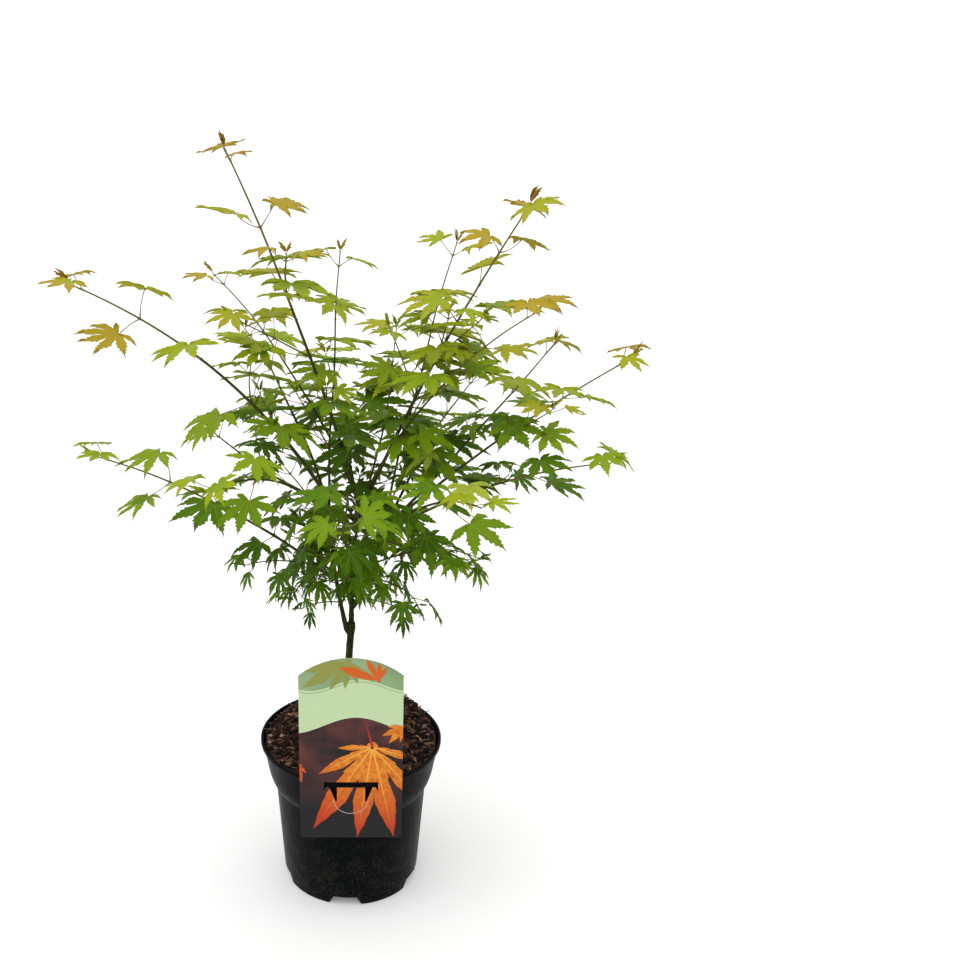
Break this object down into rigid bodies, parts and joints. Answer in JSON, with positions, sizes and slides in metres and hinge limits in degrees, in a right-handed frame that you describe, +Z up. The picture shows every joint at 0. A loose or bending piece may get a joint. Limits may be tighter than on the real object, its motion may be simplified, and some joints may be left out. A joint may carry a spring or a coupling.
{
  "type": "potted japanese maple",
  "caption": "Young japanese maple with thin arching shoots and lobed lime-green leaves, in a round black nursery pot with a hanging picture card.",
  "frame": {"origin": "middle of the pot's flat underside, on the ground", "axes": "+Z up along the pot's axis, -Y towards the front, where the card hangs, +X to the right seen from the front"},
  "size_m": [0.5552, 0.4466, 0.7846],
  "materials": {
    "pot_plastic": "satin black polypropylene with faint scuffs",
    "potting_mix": "damp crumbly bark and wood fibre",
    "card": "printed plastic card with a satin face",
    "bark": "smooth olive-brown young bark with fine ridges",
    "leaves": "soft matte leaf, lime green to gold"
  },
  "bodies": {
    "root": {"pot": "pot_plastic", "potting_mix": "potting_mix", "hanging_card": "card", "trunk": "bark", "bough_centre": "bark", "bough_left": "bark", "bough_right": "bark", "crown_heart": "leaves", "spray_leader": "leaves", "spray_right_leader": "leaves", "spray_left_high": "leaves", "spray_left_low": "leaves", "spray_right_high": "leaves", "spray_right_low": "leaves", "spray_left_inner": "leaves", "spray_centre_tall": "leaves", "spray_right_thin": "leaves", "spray_right_inner": "leaves", "spray_right_mid": "leaves", "spray_centre_thin": "leaves", "spray_left_mid": "leaves", "spray_back": "leaves", "spray_back_left": "leaves", "spray_back_right": "leaves", "spray_front": "leaves", "spray_front_left": "leaves", "spray_front_right": "leaves", "skirt_left": "leaves", "skirt_right": "leaves", "skirt_front_left": "leaves", "skirt_front_right": "leaves", "skirt_back_left": "leaves", "skirt_back_right": "leaves", "skirt_low_left": "leaves", "skirt_low_right": "leaves"}
  },
  "joints": []
}
